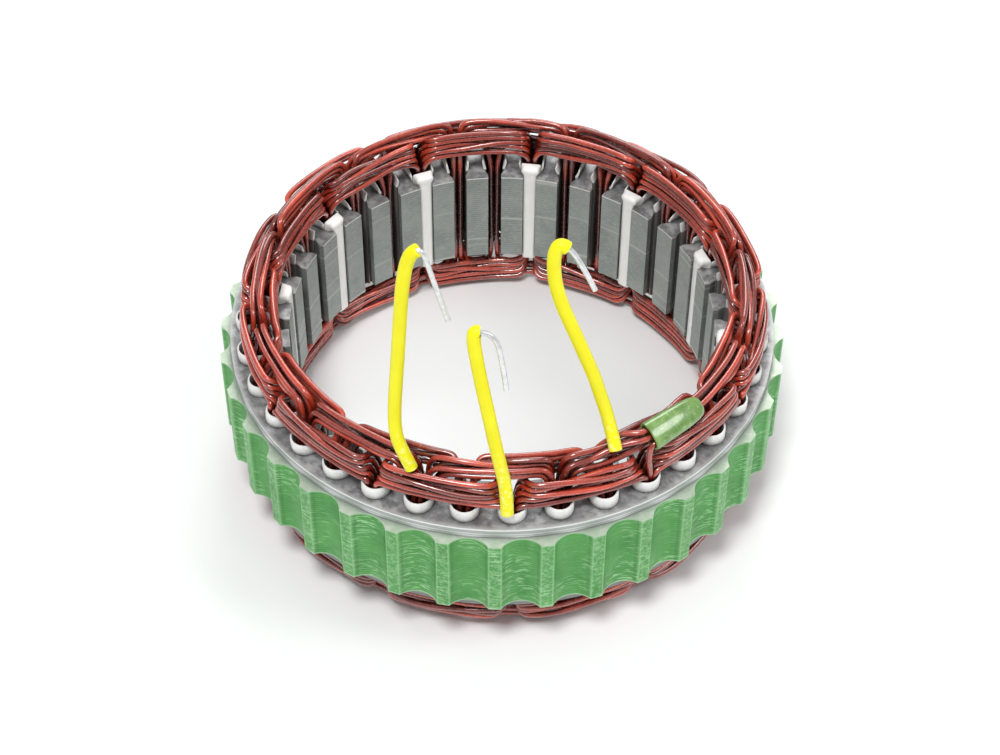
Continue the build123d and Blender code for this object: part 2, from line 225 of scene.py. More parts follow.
# Stations of the cap from its mouth: (share of its length, half width, half thickness)
STAR_SHAPE = [
    (0.0, 3.15, 1.75),
    (0.04, 3.2, 1.8),
    (0.25, 3.1, 1.85),
    (0.5, 3.0, 1.75),
    (0.7, 2.85, 1.55),
    (0.84, 2.6, 1.25),
    (0.93, 2.2, 0.95),
    (0.98, 1.5, 0.65),
    (1.0, 0.6, 0.3),
]

HALF_PITCH = math.radians(SLOT_ANGLE / 2)
TAN_HALF = math.tan(HALF_PITCH)
SIN_HALF = math.sin(HALF_PITCH)
COS_HALF = math.cos(HALF_PITCH)
ROUND_RADIUS = (SLOT_BOTTOM_RADIUS * SIN_HALF - TOOTH_WIDTH / 2) / (1 + SIN_HALF)
ROUND_CENTRE = SLOT_BOTTOM_RADIUS - ROUND_RADIUS
HEAD_BASE_Z = STACK_HEIGHT + UPPER_COLLAR

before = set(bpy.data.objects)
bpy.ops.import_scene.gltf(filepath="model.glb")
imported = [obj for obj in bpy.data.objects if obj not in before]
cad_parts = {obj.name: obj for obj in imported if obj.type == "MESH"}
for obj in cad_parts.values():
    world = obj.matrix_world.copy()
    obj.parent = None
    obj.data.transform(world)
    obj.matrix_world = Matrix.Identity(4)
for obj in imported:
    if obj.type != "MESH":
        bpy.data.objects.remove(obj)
cad_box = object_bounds()


def slot_angle(slot):
    """Angle of a slot's centre line about the axis."""
    return -90 + SLOT_ANGLE * slot


def at_slot(angle, across, radius, z):
    """A point beside a slot's centre plane."""
    a = math.radians(angle)
    x = radius * math.cos(a) - across * math.sin(a)
    y = radius * math.sin(a) + across * math.cos(a)
    return np.array([x, y, z])


def on_arc(radius, angle, z):
    """A point at a radius and an angle about the axis."""
    a = math.radians(angle)
    return np.array([radius * math.cos(a), radius * math.sin(a), z])


def above_winding(slot, point):
    """A point given across a slot, outward from the middle of its wires and above the liners."""
    across, outward, height = point
    return at_slot(slot_angle(slot), across, SLOT_MIDDLE_RADIUS + outward, HEAD_BASE_Z + height)


def b_spline(points, per_span, closed=False):
    """A cubic spline that points attract, sampled evenly in each span."""
    points = [np.asarray(p, float) for p in points]
    if closed:
        control = points[-1:] + points + points[:2]
    else:
        control = [points[0]] * 2 + points + [points[-1]] * 2
    out = []
    for i in range(1, len(control) - 2):
        a, b, c, d = control[i - 1 : i + 3]
        for k in range(per_span):
            t = k / per_span
            u = 1 - t
            near_b = 3 * t**3 - 6 * t**2 + 4
            near_c = 3 * u**3 - 6 * u**2 + 4
            out.append((u**3 * a + near_b * b + near_c * c + t**3 * d) / 6)
    if not closed:
        out.append(points[-1])
    return np.array(out)


def frames(path, closed):
    """Two unit vectors across the path at each of its points, turning as little as they can."""
    if closed:
        along = np.roll(path, -1, 0) - np.roll(path, 1, 0)
    else:
        along = np.gradient(path, axis=0)
    along /= np.linalg.norm(along, axis=1)[:, None]
    side = np.cross(along[0], [0.0, 0.0, 1.0])
    if np.linalg.norm(side) < 0.3:
        side = np.cross(along[0], [1.0, 0.0, 0.0])
    sides = []
    for direction in along:
        side = side - direction * (side @ direction)
        side = side / np.linalg.norm(side)
        sides.append(side)
    sides = np.array(sides)
    return sides, np.cross(along, sides)


def loft(rings, closed=False):
    """Vertices and faces of a skin over rings of points, with flat ends unless it joins its start."""
    count = len(rings[0])
    last = len(rings) - 1
    faces = []
    for i in range(len(rings) if closed else last):
        j = (i + 1) % len(rings)
        for k in range(count):
            m = (k + 1) % count
            faces.append((i * count + k, i * count + m, j * count + m, j * count + k))
    if not closed:
        faces.append(tuple(range(count - 1, -1, -1)))
        faces.append(tuple(range(last * count, (last + 1) * count)))
    return np.vstack(rings), faces


def round_rings(path, stations, count, closed=False):
    """Rings about a path, one for each station (index on the path, radius)."""
    sides, ups = frames(path, closed)
    turn = np.linspace(0, 2 * math.pi, count, endpoint=False)
    rings = []
    for index, radius in stations:
        ring = np.cos(turn)[:, None] * sides[index] + np.sin(turn)[:, None] * ups[index]
        rings.append(path[index] + ring * radius)
    return rings


def tube(path, radius, count, closed=False):
    """A round wire along a path."""
    stations = [(index, radius) for index in range(len(path))]
    return loft(round_rings(path, stations, count, closed), closed)


def join(parts):
    """Several (vertices, faces) as one."""
    verts, faces, start = [], [], 0
    for v, f in parts:
        verts.append(np.asarray(v, float))
        faces += [tuple(i + start for i in face) for face in f]
        start += len(v)
    return np.vstack(verts), faces


def piece(name, mesh_parts, material, stands_for, smooth_angle=180):
    """A dressed piece from millimetre vertices, riding on the body and standing for CAD nodes."""
    verts, faces = mesh_parts
    mesh = bpy.data.meshes.new(name)
    mesh.from_pydata((verts * MM).tolist(), [], faces)
    mesh.validate()
    obj = bpy.data.objects.new(name, mesh)
    bpy.context.scene.collection.objects.link(obj)
    mesh.materials.append(material)
    mesh.shade_smooth()
    mesh.set_sharp_from_angle(angle=math.radians(smooth_angle))
    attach(obj, "root")
    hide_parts(*stands_for)
    return obj


class Graph:
    """A material's node tree, with short calls for its nodes."""

    def __init__(self, name):
        self.material = bpy.data.materials.new(name)
        self.material.use_nodes = True
        self.tree = self.material.node_tree
        self.tree.nodes.clear()
        self.output = self.tree.nodes.new("ShaderNodeOutputMaterial")

    def add(self, kind, inputs=None, **settings):
        made = self.tree.nodes.new(kind)
        for key, value in settings.items():
            setattr(made, key, value)
        for key, value in (inputs or {}).items():
            self.set(made.inputs[key], value)
        return made

    def set(self, socket, value):
        if isinstance(value, bpy.types.NodeSocket):
            self.tree.links.new(value, socket)
        elif isinstance(value, bpy.types.Node):
            self.tree.links.new(value.outputs[0], socket)
        else:
            socket.default_value = value

    def math(self, operation, a, b=0.0, c=0.0):
        return self.add("ShaderNodeMath", {0: a, 1: b, 2: c}, operation=operation).outputs[0]

    def mix(self, factor, a, b):
        made = self.add("ShaderNodeMix", data_type="RGBA")
        self.set(made.inputs[0], factor)
        self.set(made.inputs[6], a)
        self.set(made.inputs[7], b)
        return made.outputs[2]

    def noise(self, vector, scale, detail=3.0, rough=0.55):
        inputs = {"Vector": vector, "Scale": scale, "Detail": detail, "Roughness": rough}
        return self.add("ShaderNodeTexNoise", inputs).outputs["Fac"]

    def ramp(self, factor, low, high, to_low=0.0, to_high=1.0):
        inputs = {0: factor, 1: low, 2: high, 3: to_low, 4: to_high}
        return self.add("ShaderNodeMapRange", inputs).outputs[0]

    def position(self):
        return self.add("ShaderNodeTexCoord").outputs["Object"]

    def stretched(self, vector, scale):
        return self.add("ShaderNodeMapping", {"Vector": vector, "Scale": scale}).outputs[0]

    def within(self, value, low, high):
        """1 where a value lies between two bounds."""
        above = self.math("GREATER_THAN", value, low)
        return self.math("MULTIPLY", above, self.math("LESS_THAN", value, high))

    def painted_shade_mask(self, distance, low, high):
        """Ambient occlusion as a mask for painted shade: 1 deep in narrow gaps and 0 in the open."""
        made = self.add("ShaderNodeAmbientOcclusion", {"Distance": distance * MM}, samples=6)
        return self.ramp(made.outputs["AO"], low, high, 1.0, 0.0)

    def bump(self, height, strength, distance):
        inputs = {"Height": height, "Strength": strength, "Distance": distance * MM}
        return self.add("ShaderNodeBump", inputs).outputs[0]

    def shade(self, color, roughness, metallic=0.0, normal=None, **sockets):
        inputs = {"Base Color": color, "Roughness": roughness, "Metallic": metallic}
        if normal is not None:
            inputs["Normal"] = normal
        inputs.update(sockets)
        made = self.add("ShaderNodeBsdfPrincipled", inputs)
        self.tree.links.new(made.outputs[0], self.output.inputs[0])
        return self.material


def linear(r, g, b):
    """A colour written in 0 to 255 display values, as the shader wants it."""
    out = []
    for v in (r, g, b):
        c = v / 255
        out.append(c / 12.92 if c <= 0.04045 else ((c + 0.055) / 1.055) ** 2.4)
    return (*out, 1.0)


def enamel_color(g, position):
    """Red enamel: each wire has its own tone; painted shade darkens the gaps between wires, and the runs
    inside the slots are painted dark, partly dark varnish and mostly painted shade.
    """
    island = g.add("ShaderNodeNewGeometry").outputs["Random Per Island"]
    broad = g.noise(position, 90.0, 2.0)
    fine = g.noise(position, 700.0, 3.0)
    warm = g.mix(g.ramp(broad, 0.35, 0.6, 0.0, 0.7), linear(212, 76, 50), linear(150, 42, 26))
    strand = g.mix(g.ramp(island, 0.35, 0.85, 0.0, 0.8), warm, linear(96, 24, 15))
    color = g.mix(g.ramp(fine, 0.6, 0.8, 0.0, 0.3), strand, linear(84, 22, 17))
    # Painted shade: the wire goes near black where ambient occlusion finds narrow gaps between wires.
    color = g.mix(g.painted_shade_mask(1.7, 0.3, 0.92), color, linear(30, 7, 5))
    # Painted shade: inside the stack the runs are painted dark brown, partly dark varnish and mostly the
    # shade of the slots.
    z = g.add("ShaderNodeSeparateXYZ", {0: position}).outputs[2]
    below_top = g.ramp(z, 22.5 * MM, 28.0 * MM, 0.85, 0.0)
    above_foot = g.ramp(z, -1.0 * MM, 2.0 * MM)
    return g.mix(g.math("MULTIPLY", below_top, above_foot), color, linear(40, 14, 11))


def enamel_material():
    """Red enamelled copper wire under a clear varnish."""
    g = Graph("enamelled_wire")
    position = g.position()
    bump = g.bump(g.noise(position, 420.0, 2.0), 0.25, 0.08)
    rough = g.ramp(g.noise(position, 700.0, 3.0), 0.3, 0.7, 0.2, 0.34)
    coat = {"Coat Weight": 1.0, "Coat Roughness": 0.09, "Specular IOR Level": 0.8}
    return g.shade(enamel_color(g, position), rough, normal=bump, **coat)


def stack_material():
    """Bare steel laminations with a green lacquer on the fluted outside."""
    g = Graph("laminations")
    position = g.position()
    x, y, z = g.add("ShaderNodeSeparateXYZ", {0: position}).outputs
    normal = g.add("ShaderNodeNewGeometry").outputs["True Normal"]
    normal_z = g.add("ShaderNodeSeparateXYZ", {0: normal}).outputs[2]
    flat = g.math("GREATER_THAN", g.math("ABSOLUTE", normal_z), 0.7)
    radius = g.math("SQRT", g.math("ADD", g.math("MULTIPLY", x, x), g.math("MULTIPLY", y, y)))
    degrees = g.math("DEGREES", g.math("ARCTAN2", y, x))

    level = g.math("DIVIDE", z, LAMINATION * MM)
    sheet = g.math("FLOOR", level)
    seam = g.math("ABSOLUTE", g.math("SUBTRACT", g.math("FRACT", level), 0.5))
    groove = g.ramp(seam, 0.34, 0.5)
    tone = g.add("ShaderNodeTexWhiteNoise", {"W": sheet}, noise_dimensions="1D").outputs[0]
    broken = g.noise(g.stretched(position, (420.0, 420.0, 60.0)), 1.0, 3.0)
    cloud = g.noise(position, 160.0, 4.0)
    gap = g.painted_shade_mask(3.0, 0.2, 0.85)

    grain = g.noise(g.stretched(position, (900.0, 900.0, 2600.0)), 1.0, 3.0)
    tooth = g.math("FLOOR", g.math("DIVIDE", degrees, SLOT_ANGLE))
    place = g.add("ShaderNodeCombineXYZ", {0: tooth, 1: sheet})
    lone = g.add("ShaderNodeTexWhiteNoise", {"Vector": place}, noise_dimensions="2D").outputs[0]
    bore = g.mix(g.ramp(cloud, 0.3, 0.7), linear(142, 149, 144), linear(168, 174, 169))
    bore = g.mix(g.ramp(grain, 0.48, 0.72, 0.0, 0.45), bore, linear(192, 198, 192))
    bore = g.mix(g.math("MULTIPLY", groove, 0.5), bore, linear(84, 92, 86))
    bore = g.mix(g.math("MULTIPLY", g.ramp(lone, 0.9, 1.0), 0.6), bore, linear(206, 212, 206))
    # Painted highlight: a bright line along the top edge of each tooth's bore face.
    top_edge_highlight = g.math("GREATER_THAN", z, (STACK_HEIGHT - 0.32) * MM)
    bore = g.mix(g.math("MULTIPLY", top_edge_highlight, 0.9), bore, linear(232, 234, 232))

    turned = g.mix(g.ramp(tone, 0.2, 0.9), linear(232, 234, 233), linear(176, 179, 179))
    turned = g.mix(g.math("MULTIPLY", groove, 0.8), turned, linear(108, 111, 111))
    # Painted shade: the turned band below the lower ledge is painted darker, as if in shade near the
    # floor.
    low = g.math("LESS_THAN", z, LOWER_LEDGE * MM)
    turned = g.mix(g.math("MULTIPLY", low, 0.75), turned, linear(96, 100, 94))
    side = g.mix(g.math("GREATER_THAN", radius, TURNED_FROM_RADIUS * MM), bore, turned)

    from_rib = g.math("SUBTRACT", degrees, RIB_ANGLE)
    rib_place = g.math("ABSOLUTE", g.math("WRAP", from_rib, SLOT_ANGLE / 2, -SLOT_ANGLE / 2))
    land = g.math("LESS_THAN", rib_place, HALF_RIB_ANGLE)
    from_edge = g.math("ABSOLUTE", g.math("SUBTRACT", rib_place, HALF_RIB_ANGLE))
    rib_edge_highlight = g.ramp(from_edge, 0.08, 0.26, 1.0, 0.0)
    from_line = g.math("ABSOLUTE", g.math("SUBTRACT", rib_place, RIB_LINE_ANGLE))
    rib_line = g.ramp(from_line, 0.05, 0.25, 1.0, 0.0)
    dapple = g.noise(position, 120.0, 4.0, 0.6)
    fleck = g.noise(position, 1300.0, 2.0, 0.6)
    streak = g.noise(g.stretched(position, (420.0, 420.0, 2400.0)), 1.0, 2.0)
    patch = g.ramp(g.noise(position, 110.0, 2.0), 0.42, 0.62)
    green = g.mix(g.ramp(dapple, 0.35, 0.7), linear(62, 142, 58), linear(86, 164, 80))
    sheet_line = g.math("MULTIPLY", groove, g.ramp(broken, 0.42, 0.6, 0.0, 0.35))
    green = g.mix(sheet_line, green, linear(150, 206, 144))
    dash = g.math("MULTIPLY", g.ramp(streak, 0.53, 0.62), g.ramp(patch, 0.0, 1.0, 0.12, 0.85))
    green = g.mix(dash, green, linear(160, 212, 154))
    speckle = g.math("MULTIPLY", g.math("MULTIPLY", land, g.ramp(fleck, 0.45, 0.65)), 0.42)
    green = g.mix(speckle, green, linear(176, 216, 170))
    green = g.mix(g.math("MULTIPLY", rib_line, 0.3), green, linear(46, 100, 44))
    # Painted highlight: pale lines along both edges of each rib land.
    green = g.mix(g.math("MULTIPLY", rib_edge_highlight, 0.42), green, linear(170, 218, 164))
    brim = g.ramp(z, (UPPER_LEDGE - 0.45) * MM, (UPPER_LEDGE - 0.2) * MM)
    foot = g.ramp(z, (LOWER_LEDGE + 0.2) * MM, (LOWER_LEDGE + 0.45) * MM, 1.0, 0.0)
    green = g.mix(g.math("MULTIPLY", g.math("MAXIMUM", brim, foot), 0.5), green, linear(206, 228, 200))
    between = g.within(z, (LOWER_LEDGE + 0.02) * MM, (UPPER_LEDGE - 0.02) * MM)
    outside = g.math("GREATER_THAN", radius, (REGISTER_RADIUS - 0.4) * MM)
    lacquered = g.math("MULTIPLY", between, outside)
    lacquered = g.math("MULTIPLY", lacquered, g.math("SUBTRACT", 1.0, flat))
    side = g.mix(lacquered, side, green)

    face_grain = g.noise(position, 520.0, 5.0, 0.7)
    blotch = g.noise(position, 260.0, 3.0, 0.6)
    face = g.mix(g.ramp(face_grain, 0.3, 0.7), linear(120, 121, 122), linear(172, 173, 174))
    face = g.mix(g.ramp(blotch, 0.48, 0.64, 0.0, 0.75), face, linear(204, 205, 206))
    face = g.mix(g.ramp(cloud, 0.5, 0.36, 0.0, 0.5), face, linear(96, 97, 98))
    face = g.mix(g.ramp(radius, TURNED_FROM_RADIUS * MM, 60.8 * MM, 0.0, 0.6), face, linear(206, 208, 208))
    ledge = g.mix(g.ramp(face_grain, 0.4, 0.7), linear(188, 208, 184), linear(212, 224, 208))
    face = g.mix(g.math("GREATER_THAN", radius, (REGISTER_RADIUS + 0.02) * MM), face, ledge)
    color = g.mix(flat, side, face)
    # Painted shade: the bare steel goes near black where ambient occlusion finds the slots and narrow
    # gaps.
    shadow = g.math("MULTIPLY", gap, g.math("SUBTRACT", 1.0, lacquered))
    color = g.mix(g.math("MULTIPLY", shadow, 0.85), color, linear(34, 32, 31))

    metal = g.math("MULTIPLY", g.math("SUBTRACT", 1.0, lacquered), 0.45)
    rough = g.ramp(cloud, 0.3, 0.7, 0.38, 0.52)
    relief = g.math("SUBTRACT", g.math("MULTIPLY", tone, 0.4), groove)
    on_side = g.math("MULTIPLY", relief, g.math("SUBTRACT", 1.0, flat))
    bump = g.bump(g.math("ADD", on_side, g.math("MULTIPLY", face_grain, 0.3)), 0.6, 0.05)
    return g.shade(color, rough, metal, bump)


def paper_material():
    """White slot paper with a faint fibre and stains of varnish, with painted shade in narrow gaps and
    inside the slots.
    """
    g = Graph("liner_paper")
    position = g.position()
    fibre = g.noise(g.stretched(position, (600.0, 600.0, 240.0)), 1.0, 4.0, 0.7)
    stain = g.noise(position, 210.0, 3.0)
    color = g.mix(g.ramp(fibre, 0.3, 0.7), linear(228, 228, 225), linear(246, 246, 244))
    color = g.mix(g.ramp(stain, 0.62, 0.8, 0.0, 0.4), color, linear(206, 194, 184))
    # Painted shade: the paper goes dark where ambient occlusion finds narrow gaps.
    color = g.mix(g.painted_shade_mask(2.6, 0.1, 0.6), color, linear(60, 48, 44))
    z = g.add("ShaderNodeSeparateXYZ", {0: position}).outputs[2]
    # Painted shade: inside the stack the paper is painted dark brown, partly varnish soaked into it and
    # mostly the shade of the slots.
    in_slot = g.within(z, -3.0 * MM, STACK_HEIGHT * MM)
    color = g.mix(g.math("MULTIPLY", in_slot, 0.8), color, linear(58, 48, 44))
    return g.shade(color, 0.62, normal=g.bump(fibre, 0.3, 0.06), **{"Specular IOR Level": 0.3})


def wedge_material():
    """White moulded strip."""
    g = Graph("wedge")
    position = g.position()
    mottle = g.noise(position, 260.0, 3.0)
    color = g.mix(g.ramp(mottle, 0.35, 0.7), linear(250, 250, 246), linear(255, 255, 253))
    return g.shade(color, 0.42, normal=g.bump(mottle, 0.25, 0.06))


def sleeving_material():
    """Yellow sleeving, dusted with varnish specks near the winding."""
    g = Graph("lead_sleeving")
    position = g.position()
    z = g.add("ShaderNodeSeparateXYZ", {0: position}).outputs[2]
    weave = g.noise(g.stretched(position, (3000.0, 3000.0, 2000.0)), 1.0, 2.0)
    tint = g.noise(position, 140.0, 2.0)
    color = g.mix(g.ramp(tint, 0.35, 0.7), linear(240, 232, 14), linear(246, 240, 26))
    speck = g.ramp(g.noise(position, 1100.0, 2.0), 0.5, 0.66)
    dusted = g.ramp(z, 39.0 * MM, 47.0 * MM, 0.75, 0.0)
    color = g.mix(g.math("MULTIPLY", speck, dusted), color, linear(252, 250, 168))
    bump = g.bump(weave, 0.15, 0.03)
    return g.shade(color, 0.42, normal=bump, **{"Specular IOR Level": 0.35})


def lead_wire_material():
    """Lead wire: red enamel in the winding and the sleeve's foot, bright tin above it."""
    g = Graph("tinned_wire")
    position = g.position()
    z = g.add("ShaderNodeSeparateXYZ", {0: position}).outputs[2]
    tinned = g.math("GREATER_THAN", z, TINNED_ABOVE * MM)
    drawn = g.noise(position, 900.0, 3.0)
    tin = g.mix(g.ramp(drawn, 0.3, 0.7), linear(204, 206, 208), linear(236, 238, 240))
    color = g.mix(tinned, linear(126, 34, 25), tin)
    metal = g.math("MULTIPLY", tinned, 0.55)
    return g.shade(color, 0.28, metal, g.bump(drawn, 0.15, 0.03))


def cap_material():
    """Glossy green varnished cap, with painted shade in its gaps."""
    g = Graph("star_cap")
    position = g.position()
    mottle = g.noise(position, 240.0, 4.0, 0.65)
    weave = g.noise(position, 1500.0, 2.0)
    color = g.mix(g.ramp(mottle, 0.35, 0.68), linear(84, 122, 52), linear(134, 172, 98))
    color = g.mix(g.ramp(weave, 0.58, 0.74, 0.0, 0.6), color, linear(182, 212, 160))
    # Painted shade: darker green where ambient occlusion finds gaps.
    color = g.mix(g.painted_shade_mask(1.2, 0.1, 0.7), color, linear(40, 58, 26))
    bump = g.bump(g.math("ADD", mottle, g.math("MULTIPLY", weave, 0.4)), 0.3, 0.1)
    return g.shade(color, 0.3, normal=bump, **{"Coat Weight": 0.8, "Coat Roughness": 0.1})


ENAMEL = enamel_material()
STACK = stack_material()
LINER_PAPER = paper_material()
WEDGE = wedge_material()
SLEEVING = sleeving_material()
LEAD_WIRE = lead_wire_material()
CAP = cap_material()

# The lamination stack keeps its solid.
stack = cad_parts["lamination_stack"]
stack.data.materials.clear()
stack.data.materials.append(STACK)


def stacked_turn(layer, place):
    """Radius, level, throat and nose of the wire at one place in a layer of one column."""
    radius = SLOT_MIDDLE_RADIUS + layer["shift"]
    throat = [first + step * place for first, step in zip(layer["throat"], layer["throat_step"])]
    level = layer["level"] + layer["pitch"] * place
    return radius, level, throat, layer["nose"] + layer["nose_step"] * place


def head_turn(layer, turn):
    """Radius, level above the liners, throat and nose of one turn."""
    if layer == "outer":
        return stacked_turn(OUTER_LAYER, TURNS - 1 - turn)
    if layer == "inner":
        return stacked_turn(INNER_LAYER, turn)
    column = 0.5 if turn > 2 else -0.5
    place = turn - 3 if turn > 2 else 2 - turn
    radius = SLOT_MIDDLE_RADIUS + MIDDLE_LAYER["shift"] + column * MIDDLE_LAYER["column_pitch"]
    level = MIDDLE_LAYER["level"] + MIDDLE_LAYER["pitch"] * place
    return radius, level, MIDDLE_LAYER["throats"][turn], MIDDLE_LAYER["noses"][turn]


def head(layer, places, side, slots, sway, rng):
    """Control points of a wire over a winding head, given the turn whose place it has at each end."""
    face = STACK_HEIGHT if side > 0 else 0.0
    base = face + side * (UPPER_COLLAR if side > 0 else LOWER_COLLAR)
    stray = sway["radius"] + rng.uniform(*STRAY[layer])
    rise = sway["lift"] * 0.3 + rng.uniform(-0.1, 0.1)
    tilt = sway["tilt"] + rng.uniform(-0.12, 0.12)
    pass_by = CROSSING_GAP * np.sign(places[1] - places[0])
    centre = slot_angle(sum(slots) / 2)
    ends = []
    for end, slot, turn in ((-1, slots[0], places[0]), (1, slots[1], places[1])):
        radius, level, (outward, across, height), nose = head_turn(layer, turn)
        radius += stray
        level += rise
        wide = side > 0 and slot % SLOTS in WIDE_SLOTS
        reach = nose - 0.3 if wide else 0.2 + 0.5 * nose
        reach += rng.uniform(-0.5, 0.6)
        angle = slot_angle(slot)
        column = COLUMN_OFFSET
        if side < 0:
            column = LOWER_COLUMN_OFFSET
            across = column + (across - COLUMN_OFFSET) * LOWER_SPREAD
        tip = abs(angle - centre) - math.degrees(reach / radius)
        throat = at_slot(angle, -end * across, SLOT_MIDDLE_RADIUS + outward, base + side * height)
        corner_level = level + sway["dip"] * 0.3 + end * tilt
        corner = on_arc(radius, centre + end * tip, base + side * corner_level)
        run = []
        for depth in HELD_DEPTHS:
            run.append(at_slot(angle, -end * column, SLOT_WIRE_RADII[turn], face - side * depth))
        run += [throat, throat * 0.5 + corner * 0.5 + np.array([0, 0, side * 0.3]), corner]
        for share, passing in ((0.72, 0.3), (0.38, 1.0)):
            lift = sway["lift"] * (1 - share) + end * tilt * share + rng.uniform(-0.09, 0.09)
            bow = sway["bow"] * (1 - share) + pass_by * passing + rng.uniform(-0.06, 0.06)
            run.append(on_arc(radius + bow, centre + end * tip * share, base + side * (level + lift)))
        ends.append(run)
    return ends[0] + ends[1][::-1]


def coil(layer, slots, rng):
    """All turns of one coil as closed loops of wire."""
    sways = []
    for _ in range(2):
        sways.append(
            {
                "radius": rng.uniform(-0.15, 0.2),
                "dip": rng.uniform(-0.7, 0.3),
                "lift": rng.uniform(-0.2, 0.45),
                "bow": rng.uniform(-0.15, 0.2),
                "tilt": rng.uniform(-0.4, 0.4),
            }
        )
    partners = list(range(TURNS))
    turn = 0
    while turn < TURNS - 1:
        if rng.random() < CROSSING_SHARE:
            partners[turn], partners[turn + 1] = turn + 1, turn
            turn += 1
        turn += 1
    loops = []
    for places in enumerate(partners):
        upper = head(layer, places, 1, slots, sways[0], rng)
        lower = head(layer, places, -1, slots, sways[1], rng)
        path = b_spline(upper + lower[::-1], WIRE_STEPS, True)
        loops.append(tube(path, WIRE_RADIUS, WIRE_SIDES, True))
    return loops


rng = random.Random(SEED)
for phase, layer, first_slot in (("u", "outer", 0), ("v", "middle", 1), ("w", "inner", 2)):
    strands = []
    for pole in range(POLES):
        start = first_slot + 3 * pole
        strands += coil(layer, (start, start + 3), rng)
    piece(f"winding_{phase}", join(strands), ENAMEL, [f"phase_{phase}_coils"])


def flank(radius, inset):
    """Half width of a slot between parallel-sided teeth, less an inset."""
    return radius * TAN_HALF - (TOOTH_WIDTH / 2 + inset) / COS_HALF


def liner_stations():
    """The liner's outside round one slot: (radius, across, two parts of its normal, share)."""
    radius = ROUND_RADIUS - FIT
    touch = (ROUND_CENTRE - radius * SIN_HALF, radius * COS_HALF)
    first = (LINER_START_RADIUS, flank(LINER_START_RADIUS, FIT))
    flanks = []
    for share in (0.0, 0.15, 0.4, 0.7):
        out = first[0] + (touch[0] - first[0]) * share
        across = first[1] + (touch[1] - first[1]) * share
        flanks.append((out, across, share))
    stations = [(out, -across, -SIN_HALF, -COS_HALF, share) for out, across, share in flanks]
    for step in range(13):
        a = math.radians(-95 + 190 / 12 * step)
        ca, sa = math.cos(a), math.sin(a)
        stations.append((ROUND_CENTRE + radius * ca, radius * sa, ca, sa, 1.0))
    stations += [(out, across, -SIN_HALF, COS_HALF, share) for out, across, share in flanks[::-1]]
    return stations


def liner(number, rng):
    """One folded paper channel whose cuff opens over the teeth and falls towards the bore."""
    flare = rng.uniform(-0.15, 0.12)
    lean = rng.uniform(0.5, 1.0)
    falls = (rng.uniform(0.6, 1.5), rng.uniform(0.6, 1.5))
    angle = slot_angle(number)
    verts = []
    stations = liner_stations()
    for out, across, normal_out, normal_across, share in stations:
        fall = falls[0] if across < 0 else falls[1]
        open_out = flare * rng.uniform(0.85, 1.15) + lean * (1 - share) * 0.6
        rim = HEAD_BASE_Z - fall * (1 - share) ** 2
        profile = [
            (0.0, -LOWER_COLLAR),
            (0.0, STACK_HEIGHT - 0.3),
            (0.05, STACK_HEIGHT + 0.05),
            (0.2, STACK_HEIGHT + 0.2),
            (0.2 + open_out * 0.5, rim - 1.0),
            (0.15 + open_out, rim - 0.2),
            (0.05 + open_out, rim),
            (-0.2 + open_out, rim),
            (-0.3 + open_out, rim - 0.2),
            (-0.3 + open_out * 0.5, rim - 0.9),
            (-PAPER, STACK_HEIGHT + 0.4),
            (-PAPER, -LOWER_COLLAR),
        ]
        for offset, z in profile:
            verts.append(at_slot(angle, across + normal_across * offset, out + normal_out * offset, z))
    count = len(profile)
    last = (len(stations) - 1) * count
    faces = []
    for i in range(len(stations) - 1):
        for k in range(count):
            m = (k + 1) % count
            faces.append((i * count + k, (i + 1) * count + k, (i + 1) * count + m, i * count + m))
    faces.append(tuple(range(count)))
    faces.append(tuple(range(last + count - 1, last - 1, -1)))
    return np.array(verts), faces


for number in range(SLOTS):
    name = f"{number + 1:02d}"
    piece(f"liner_{name}", liner(number, rng), LINER_PAPER, [f"slot_liner_{name}"], 50)


def wedge(slot):
    """A strip between and behind the tooth tips, with a broad rounded head over them."""
    mouth = SLOT_OPENING / 2 - FIT
    top = STACK_HEIGHT + WEDGE_UPPER_HEAD
    stations = [
        (-WEDGE_LOWER_HEAD, mouth, 0.3, 0.0),
        (0.2 - WEDGE_LOWER_HEAD, mouth, 0.0, 0.0),
        (STACK_HEIGHT - 0.4, mouth, 0.0, 0.0),
        (STACK_HEIGHT + 0.05, mouth, 0.0, 0.2),
        (STACK_HEIGHT + 0.35, 1.66, 0.0, 0.4),
        (STACK_HEIGHT + 0.7, 1.86, -0.05, 0.7),
        (STACK_HEIGHT + 1.05, 2.04, -0.1, 1.0),
        (top - 0.95, 2.1, -0.1, 1.0),
        (top - 0.6, 2.05, -0.05, 1.0),
        (top - 0.3, 1.88, 0.1, 1.0),
        (top - 0.1, 1.6, 0.35, 1.0),
        (top, 1.2, 0.7, 1.0),
    ]
    rings = []
    for z, half, shrink, bend in stations:
        half_back = max(half, flank(TAPER_END_RADIUS, FIT)) - max(shrink, 0.0)
        front = WEDGE_FRONT_RADIUS + shrink
        half_side = [
            (front, half * (0.6 - 0.3 * bend)),
            (front + 0.1 + 0.1 * bend, half * (0.87 - 0.12 * bend)),
            (front + 0.3 + 0.3 * bend, half),
            (TIP_BACK_RADIUS, half),
            (TAPER_END_RADIUS, half_back),
            (WEDGE_BACK_RADIUS - max(shrink, 0.0) * 0.4, half_back),
        ]
        outline = [(radius, -across) for radius, across in half_side] + half_side[::-1]
        ring = [at_slot(slot_angle(slot), across, radius, z) for radius, across in outline]
        rings.append(np.array(ring))
    return loft(rings)


for number in range(POLES):
    name = f"{number + 1:02d}"
    piece(f"wedge_{name}", wedge(2 + 3 * number), WEDGE, [f"slot_wedge_{name}"], 50)


